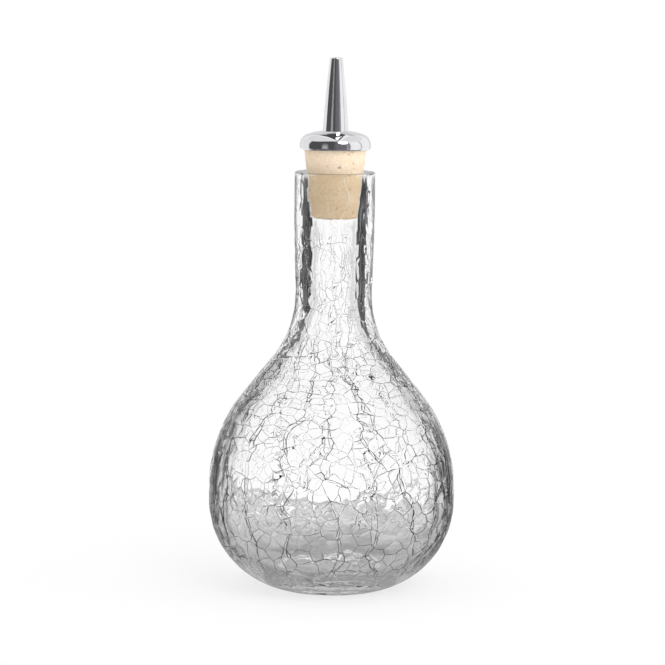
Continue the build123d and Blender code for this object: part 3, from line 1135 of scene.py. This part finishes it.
def glassMaterial(name, isInside):
    # clear soda-lime glass: sharp and colourless, with painted shade at its grazing edges and limbs and in
    # what its inside mirrors, and grey cracks with painted shade and painted glints
    material, tree = newMaterial(name)
    facing = addNode(tree, "ShaderNodeLayerWeight", {"Blend": 0.5}).outputs["Facing"]
    share = addNode(tree, "ShaderNodeFresnel", {"IOR": glass["ior"]})
    share = addNode(tree, "ShaderNodeMapRange", [share, glass["surfaceShine"], 1.0])
    place = addNode(tree, "ShaderNodeTexCoord").outputs["Object"]
    parts = addNode(tree, "ShaderNodeSeparateXYZ", [place]).outputs
    height = parts["Z"]
    level = addNode(tree, "ShaderNodeMapRange", [height, 0.0, glass["tall"] * metre])

    def byHeight(stops):
        ramp = addNode(tree, "ShaderNodeValToRGB", [level])
        setRamp(ramp, [(z / glass["tall"], (value, value, value, 1)) for z, value in stops])
        return ramp

    def streaksAround(turns, tall, detail, rough):
        # noise in streaks that run up the bottle: so many to a radian round it, and so many mm tall
        flat = addNode(tree, "ShaderNodeCombineXYZ", [parts["X"], parts["Y"]])
        out = addNode(tree, "ShaderNodeVectorMath", [flat], operation="NORMALIZE")
        out = addNode(tree, "ShaderNodeVectorMath", [out, turns], operation="SCALE")
        across = addNode(tree, "ShaderNodeSeparateXYZ", [out]).outputs
        up = addNode(tree, "ShaderNodeMath", [height, tall * metre], operation="DIVIDE")
        spot = addNode(tree, "ShaderNodeCombineXYZ", [across["X"], across["Y"], up])
        values = {"Vector": spot, "Scale": 1.0, "Detail": detail, "Roughness": rough}
        return addNode(tree, "ShaderNodeTexNoise", values)

    if isInside:
        # painted shade in what the inside mirrors back: it is tinted dark, in streaks up the bottle, and
        # lifted by height
        streak = streaksAround(glass["streaks"], glass["streakHeight"], 3.0, 0.6)
        streak = addNode(tree, "ShaderNodeMapRange", [streak, *glass["streakShare"]])
        dim = [streak, glass["mirrorShadeDark"], glass["mirrorShadeStreak"]]
        dim = addNode(tree, "ShaderNodeMix", dim, data_type="RGBA")
        lift = byHeight([(z, lift) for z, lift, _ in glassMirrorShade])
        dim = addNode(tree, "ShaderNodeMix", [lift, dim, "#FFFFFF"], data_type="RGBA")
        limit = byHeight([(z, turn) for z, _, turn in glassMirrorShade])
        past = addNode(tree, "ShaderNodeMath", [facing, limit], operation="SUBTRACT")
        past = addNode(tree, "ShaderNodeMapRange", [past, *glass["mirrorEdge"]])
        mirror = addNode(tree, "ShaderNodeMix", [past, dim, "#FFFFFF"], data_type="RGBA")
        tint = "#FFFFFF"
    else:
        # painted shade at the grazing edges and at the limbs, by how far a face turns away
        edge, limb, end = (
            addNode(tree, "ShaderNodeMapRange", [facing, *glass[name]])
            for name in ("edgeShadeFacing", "limbFacing", "limbEnd")
        )
        edge = addNode(tree, "ShaderNodeMath", [edge, byHeight(glassEdgeShade)], operation="MULTIPLY")
        for other in (end, byHeight(glassLimbShade)):
            limb = addNode(tree, "ShaderNodeMath", [limb, other], operation="MULTIPLY")
        # painted shade at the limbs, in thin streaks that stand for the long cracks crowding together there
        lined = streaksAround(glass["limbLines"], glass["limbHeight"], 2.0, 0.5)
        lined = addNode(tree, "ShaderNodeMapRange", [lined, *glass["limbShare"]])
        grey = [lined, glass["limbShadeColour"], glass["limbShadeLine"]]
        grey = addNode(tree, "ShaderNodeMix", grey, data_type="RGBA")
        tint = "#FFFFFF"
        for factor, colour in ((limb, grey), (edge, glass["edgeShadeColour"])):
            tint = addNode(tree, "ShaderNodeMix", [factor, tint, colour], data_type="RGBA")
        # a crack shows as its walls do, by its strength
        crack = addNode(tree, "ShaderNodeAttribute", attribute_name="crack").outputs["Fac"]
        wall = addNode(tree, "ShaderNodeAttribute", attribute_name="fracture").outputs["Fac"]
        low = byHeight(glassCrackShade)
        strong = addNode(tree, "ShaderNodeMath", [low, 0.9], operation="ADD")
        strong = addNode(tree, "ShaderNodeMath", [crack, strong, 0.15], operation="MULTIPLY_ADD")
        strong = addNode(tree, "ShaderNodeMath", [strong, 1.0], operation="MINIMUM")
        broken = addNode(tree, "ShaderNodeMath", [wall, strong], operation="MULTIPLY")
        # painted shade and painted glints: by a noise it is dark here and bright there, as a leaning face
        # would look, and painted darker low down
        values = {"Vector": place, "Scale": 1 / (glass["crackPatch"] * metre), "Detail": 1.0}
        patch = addNode(tree, "ShaderNodeTexNoise", values)
        dark = addNode(tree, "ShaderNodeMapRange", [patch, *glass["darkShare"]])
        dark = addNode(tree, "ShaderNodeMath", [dark, low], operation="MULTIPLY")
        bright = addNode(tree, "ShaderNodeMapRange", [patch, *glass["brightShare"]])
        line = glass["crackColour"]
        for factor, colour in ((dark, glass["crackShadeDark"]), (bright, glass["crackGlint"])):
            line = addNode(tree, "ShaderNodeMix", [factor, line, colour], data_type="RGBA")
        tint = addNode(tree, "ShaderNodeMix", [broken, tint, line], data_type="RGBA")
        mirror = tint
    bent = {"Color": tint, "Roughness": 0.0, "IOR": glass["ior"]}
    bent = addNode(tree, "ShaderNodeBsdfRefraction", bent)
    shine = addNode(tree, "ShaderNodeBsdfAnisotropic", {"Color": mirror, "Roughness": 0.0})
    surface = addNode(tree, "ShaderNodeMixShader", [share, bent, shine])
    if isInside:
        # the rounded lip is too small to bend what stands close behind it
        first, last = glass["lipHeight"]
        lip = addNode(tree, "ShaderNodeMapRange", [height, first * metre, last * metre])
        front = addNode(tree, "ShaderNodeMapRange", [facing, *glass["lipFacing"]])
        lip = addNode(tree, "ShaderNodeMath", [lip, front], operation="MULTIPLY")
        clear = addNode(tree, "ShaderNodeBsdfTransparent")
        surface = addNode(tree, "ShaderNodeMixShader", [lip, surface, clear])
    addNode(tree, "ShaderNodeOutputMaterial", {"Surface": surface})
    return material


def makeGlass():
    outside = glassMaterial("soda-lime glass, crackled outside", False)
    inside = glassMaterial("soda-lime glass, blown inside", True)
    base = makeBaseGlass()
    base.data.materials.append(outside)
    base.data.materials.append(inside)
    values = {
        "Groove Depth": panes["grooveDepth"],
        "Groove Width": panes["grooveWidth"],
        "Shoulder": panes["shoulder"],
        "Tilt": panes["tilt"],
        "Seed": panes["seed"],
    }
    made = applyTree(base, crackTree(outside, inside), values, "crackleBottle")
    mesh = made.data
    mesh.shade_smooth()
    mesh.set_sharp_from_angle(angle=math.radians(panes["sharpAngle"]))
    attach(made, "bottle")
    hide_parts("glass_bottle")
    mesh.calc_loop_triangles()
    print("glass triangles:", len(mesh.loop_triangles))


makeGlass()


# Cork: punched from bark, turned to a taper and sanded
cork = {
    "bottomRadius": 7.9,
    "taper": 2.7 / 25.6,
    "edge": 1.0,
    "tubeRadius": 3.0,
    "flare": 0.6,
    "flareLength": 1.0,
    "around": 176,
    "step": 0.34,
    "seed": 23,
    "pits": 46,
    "pitWidth": (0.16, 0.42),  # half sizes
    "pitLength": (0.2, 0.8),
    "pitDepth": (0.08, 0.3),
    "grainSize": 1.1,
    "grainDepth": 0.05,
    "veinWidth": 0.34,
    "veinDepth": 0.16,
    "colour": "#FDEBD9",
    "veinColour": "#FBF1E0",
    "pitColour": "#BE9A66",
    # painted shade: the cork below the rim, inside the glass, is made this much darker
    "neckShadeColour": "#F6F1E3",
    "neckShadeHeight": (139.1, 138.8),
    "fineGrain": 0.75,  # the tone of this size also roughens the surface
    "bumpDepth": 0.08,
    "roughness": (0.72, 0.95),
}
# the cork's tones: how wide in mm, how detailed, where each begins and is full in its noise, and its colour
corkTones = (
    (5.0, 2.0, 0.38, 0.62, "#F8E1C8"),
    (0.75, 3.0, 0.36, 0.64, "#F1DABA"),
    (0.45, 2.0, 0.68, 0.76, "#CFAE80"),
)
# pores that stand out: turn from the front in degrees, height, half width, half length, depth
corkPores = (
    (8, 140.9, 0.62, 0.45, 0.5),
    (-60, 145.3, 0.4, 0.3, 0.3),
    (26, 145.4, 0.5, 0.3, 0.35),
    (38, 142.2, 0.3, 0.45, 0.3),
)
# a pale vein down the front: turn from the front in degrees, and height
corkVein = ((18, 137.6), (22, 134.5), (32, 131.8), (30, 129.4), (20, 125.9), (14, 124.2))


def corkMaterial():
    # natural cork: soft, matt and grainy, with brown pores, and with painted shade below the rim, where the
    # neck's glass covers it
    material, tree = newMaterial("natural cork, turned and sanded")
    place = addNode(tree, "ShaderNodeTexCoord").outputs["Object"]
    colour = cork["colour"]
    for size, detail, low, high, shade in corkTones:
        values = {"Vector": place, "Scale": 1 / (size * metre), "Detail": detail}
        grain = addNode(tree, "ShaderNodeTexNoise", values)
        grain = addNode(tree, "ShaderNodeMapRange", [grain, low, high])
        colour = addNode(tree, "ShaderNodeMix", [grain, colour, shade], data_type="RGBA")
        if size == cork["fineGrain"]:
            fine = grain
    height = addNode(tree, "ShaderNodeSeparateXYZ", [place]).outputs["Z"]
    # painted shade below the rim, where the cork sits inside the glass
    first, last = cork["neckShadeHeight"]
    neckShadeMask = addNode(tree, "ShaderNodeMapRange", [height, first * metre, last * metre])
    neckShadeTint = addNode(tree, "ShaderNodeMix", [neckShadeMask, "#FFFFFF", cork["neckShadeColour"]], data_type="RGBA")
    colour = addNode(tree, "ShaderNodeMix", [1.0, colour, neckShadeTint], data_type="RGBA", blend_type="MULTIPLY")
    for name in ("vein", "pit"):
        here = addNode(tree, "ShaderNodeAttribute", attribute_name=name).outputs["Fac"]
        colour = addNode(tree, "ShaderNodeMix", [here, colour, cork[name + "Colour"]], data_type="RGBA")
    values = {"Height": fine, "Strength": 0.35, "Distance": cork["bumpDepth"] * metre}
    bump = addNode(tree, "ShaderNodeBump", values)
    rough = addNode(tree, "ShaderNodeMapRange", [fine, 0.0, 1.0, *cork["roughness"]])
    values = {"Base Color": colour, "Roughness": rough, "Normal": bump}
    shader = addNode(tree, "ShaderNodeBsdfPrincipled", values)
    addNode(tree, "ShaderNodeOutputMaterial", {"Surface": shader})
    return material


def corkPits(bottom, top):
    # every pit: turn in radians, height, half width, half length, depth, lean
    dice = random.Random(cork["seed"])
    pits = []
    for _ in range(cork["pits"]):
        pits.append(
            (
                dice.uniform(-math.pi, math.pi),
                dice.uniform(bottom + 1, top - 0.5),
                dice.uniform(*cork["pitWidth"]),
                dice.uniform(*cork["pitLength"]),
                dice.uniform(*cork["pitDepth"]),
                dice.uniform(-0.9, 0.9),
            )
        )
    front = -math.pi / 2
    return pits + [(front + math.radians(turn), z, w, l, d, 0.4) for turn, z, w, l, d in corkPores]


def makeCork():
    low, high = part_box("cork_stopper")
    bottom, top = low[2] / metre, high[2] / metre
    edge, tube = cork["edge"], cork["tubeRadius"]
    lower, upper = cork["bottomRadius"], cork["bottomRadius"] + cork["taper"] * (top - bottom)
    side = arcPoints((lower - edge, bottom + edge), edge, -90, 0, cork["step"])
    outline = evenly([(tube + cork["flare"], bottom)] + side + [(upper, top)], cork["step"])
    pits = corkPits(bottom, top)
    vein = [(math.radians(turn) - math.pi / 2, z) for turn, z in corkVein]
    shape = bmesh.new()
    pitLayer = shape.verts.layers.float.new("pit")
    veinLayer = shape.verts.layers.float.new("vein")
    turns = [2 * math.pi * i / cork["around"] for i in range(cork["around"])]

    def wrap(angle):
        return (angle + math.pi) % (2 * math.pi) - math.pi

    def dent(turn, r, z):
        # how deep the surface lies here, and how much of that is pit or vein
        here = Vector((r * math.cos(turn), r * math.sin(turn), z))
        grain = noise.noise(here / cork["grainSize"]) + 0.6 * noise.noise(here / (cork["grainSize"] * 0.4))
        depth = cork["grainDepth"] * max(0.0, 0.5 + grain)
        pit = 0.0
        for angle, height, width, length, deep, lean in near:
            across, along = wrap(turn - angle) * r, z - height
            x = across * math.cos(lean) + along * math.sin(lean)
            y = along * math.cos(lean) - across * math.sin(lean)
            far = (x / width) ** 2 + (y / length) ** 2
            if far < 2.0:
                far *= 1 + 0.9 * noise.noise(here / 0.5)
                if far < 1.0:
                    depth += deep * (1 - far) ** 0.7
                    pit = max(pit, (1 - far) * min(1.0, deep / 0.3))
        line = 0.0
        if vein[-1][1] <= z <= vein[0][1]:
            k = next(i for i in range(len(vein) - 1) if vein[i + 1][1] <= z)
            t = (vein[k][1] - z) / (vein[k][1] - vein[k + 1][1])
            angle = vein[k][0] + (vein[k + 1][0] - vein[k][0]) * t
            angle += 0.03 * noise.noise(Vector((0, 0, z * 1.3)))
            line = max(0.0, 1 - abs(wrap(turn - angle)) * r / cork["veinWidth"])
            depth += cork["veinDepth"] * line
        return depth, pit, line

    rings = []
    for i, (r, z) in enumerate(outline):
        near = [p for p in pits if abs(p[1] - z) < 1.8]
        ahead, behind = outline[min(i + 1, len(outline) - 1)], outline[max(i - 1, 0)]
        out = Vector((ahead[1] - behind[1], behind[0] - ahead[0])).normalized()
        ring = []
        for turn in turns:
            depth, pit, line = dent(turn, r, z) if 0 < i < len(outline) - 1 else (0.0, 0.0, 0.0)
            across, height = r - depth * out.x, z - depth * out.y
            vert = shape.verts.new((across * math.cos(turn), across * math.sin(turn), height))
            vert[pitLayer], vert[veinLayer] = pit, line
            ring.append(vert)
        rings.append(ring)
    for r, z in ((tube, top), (tube, bottom + cork["flareLength"])):
        rings.append([shape.verts.new((r * math.cos(turn), r * math.sin(turn), z)) for turn in turns])
    for ring, following in zip(rings, rings[1:] + rings[:1]):
        for k in range(len(turns)):
            j = (k + 1) % len(turns)
            shape.faces.new((ring[k], ring[j], following[j], following[k]))
    bmesh.ops.recalc_face_normals(shape, faces=shape.faces)
    bmesh.ops.scale(shape, vec=(metre, metre, metre), verts=shape.verts)
    mesh = bpy.data.meshes.new("taperedCork")
    shape.to_mesh(mesh)
    shape.free()
    mesh.materials.append(corkMaterial())
    mesh.shade_smooth()
    mesh.set_sharp_from_angle(angle=math.radians(50))
    piece = bpy.data.objects.new("taperedCork", mesh)
    bpy.context.collection.objects.link(piece)
    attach(piece, "stopper")
    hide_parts("cork_stopper")
    mesh.calc_loop_triangles()
    print("cork triangles:", len(mesh.loop_triangles))


makeCork()

# Metal: the cap and the spout are chromed brass, the tube inside them is drawn steel
metals = {
    "hazeSize": 6.0,
    "hazeShare": (0.35, 0.7),
    "lineDepth": 0.01,
    "chrome": {
        "name": "chromed brass, polished",
        "colour": "#F0F0F2",
        "shade": "#E7E7EA",
        "roughness": (0.02, 0.06),
        "bump": 0.04,
        "linesPerMm": (0.2, 0.2, 4.0),
    },
    "steel": {
        "name": "stainless steel tube, drawn",
        "colour": "#BDBDC0",
        "shade": "#A9A9AD",
        "roughness": (0.22, 0.36),
        "bump": 0.3,
        "linesPerMm": (5.0, 5.0, 0.06),
    },
}


def polishedMetal(kind):
    # mirror metal with a thin haze, and hair lines from the wheel or the die
    metal = metals[kind]
    material, tree = newMaterial(metal["name"])
    place = addNode(tree, "ShaderNodeTexCoord").outputs["Object"]
    haze = {"Vector": place, "Scale": 1 / (metals["hazeSize"] * metre), "Detail": 3.0}
    haze = addNode(tree, "ShaderNodeTexNoise", haze)
    haze = addNode(tree, "ShaderNodeMapRange", [haze, *metals["hazeShare"]])
    scale = [count / metre for count in metal["linesPerMm"]]
    stretch = addNode(tree, "ShaderNodeMapping", {"Vector": place, "Scale": scale})
    lines = {"Vector": stretch, "Scale": 1.0, "Detail": 2.0, "Roughness": 0.7}
    lines = addNode(tree, "ShaderNodeTexNoise", lines)
    values = {"Height": lines, "Strength": metal["bump"], "Distance": metals["lineDepth"] * metre}
    bump = addNode(tree, "ShaderNodeBump", values)
    rough = addNode(tree, "ShaderNodeMapRange", [haze, 0.0, 1.0, *metal["roughness"]])
    colour = addNode(tree, "ShaderNodeMix", [haze, metal["colour"], metal["shade"]], data_type="RGBA")
    values = {"Base Color": colour, "Metallic": 1.0, "Roughness": rough, "Normal": bump}
    shader = addNode(tree, "ShaderNodeBsdfPrincipled", values)
    addNode(tree, "ShaderNodeOutputMaterial", {"Surface": shader})
    return material


chrome, steel = polishedMetal("chrome"), polishedMetal("steel")
for name, material in (("dasher_cap", chrome), ("dasher_spout", chrome), ("pour_tube", steel)):
    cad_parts[name].material_slots[0].material = material
print("metal finished")

scene = bpy.context.scene
scene.view_settings.view_transform = "Standard"
scene.cycles.max_bounces = 32
scene.cycles.transmission_bounces = 32
scene.cycles.glossy_bounces = 16
scene.cycles.transparent_max_bounces = 16
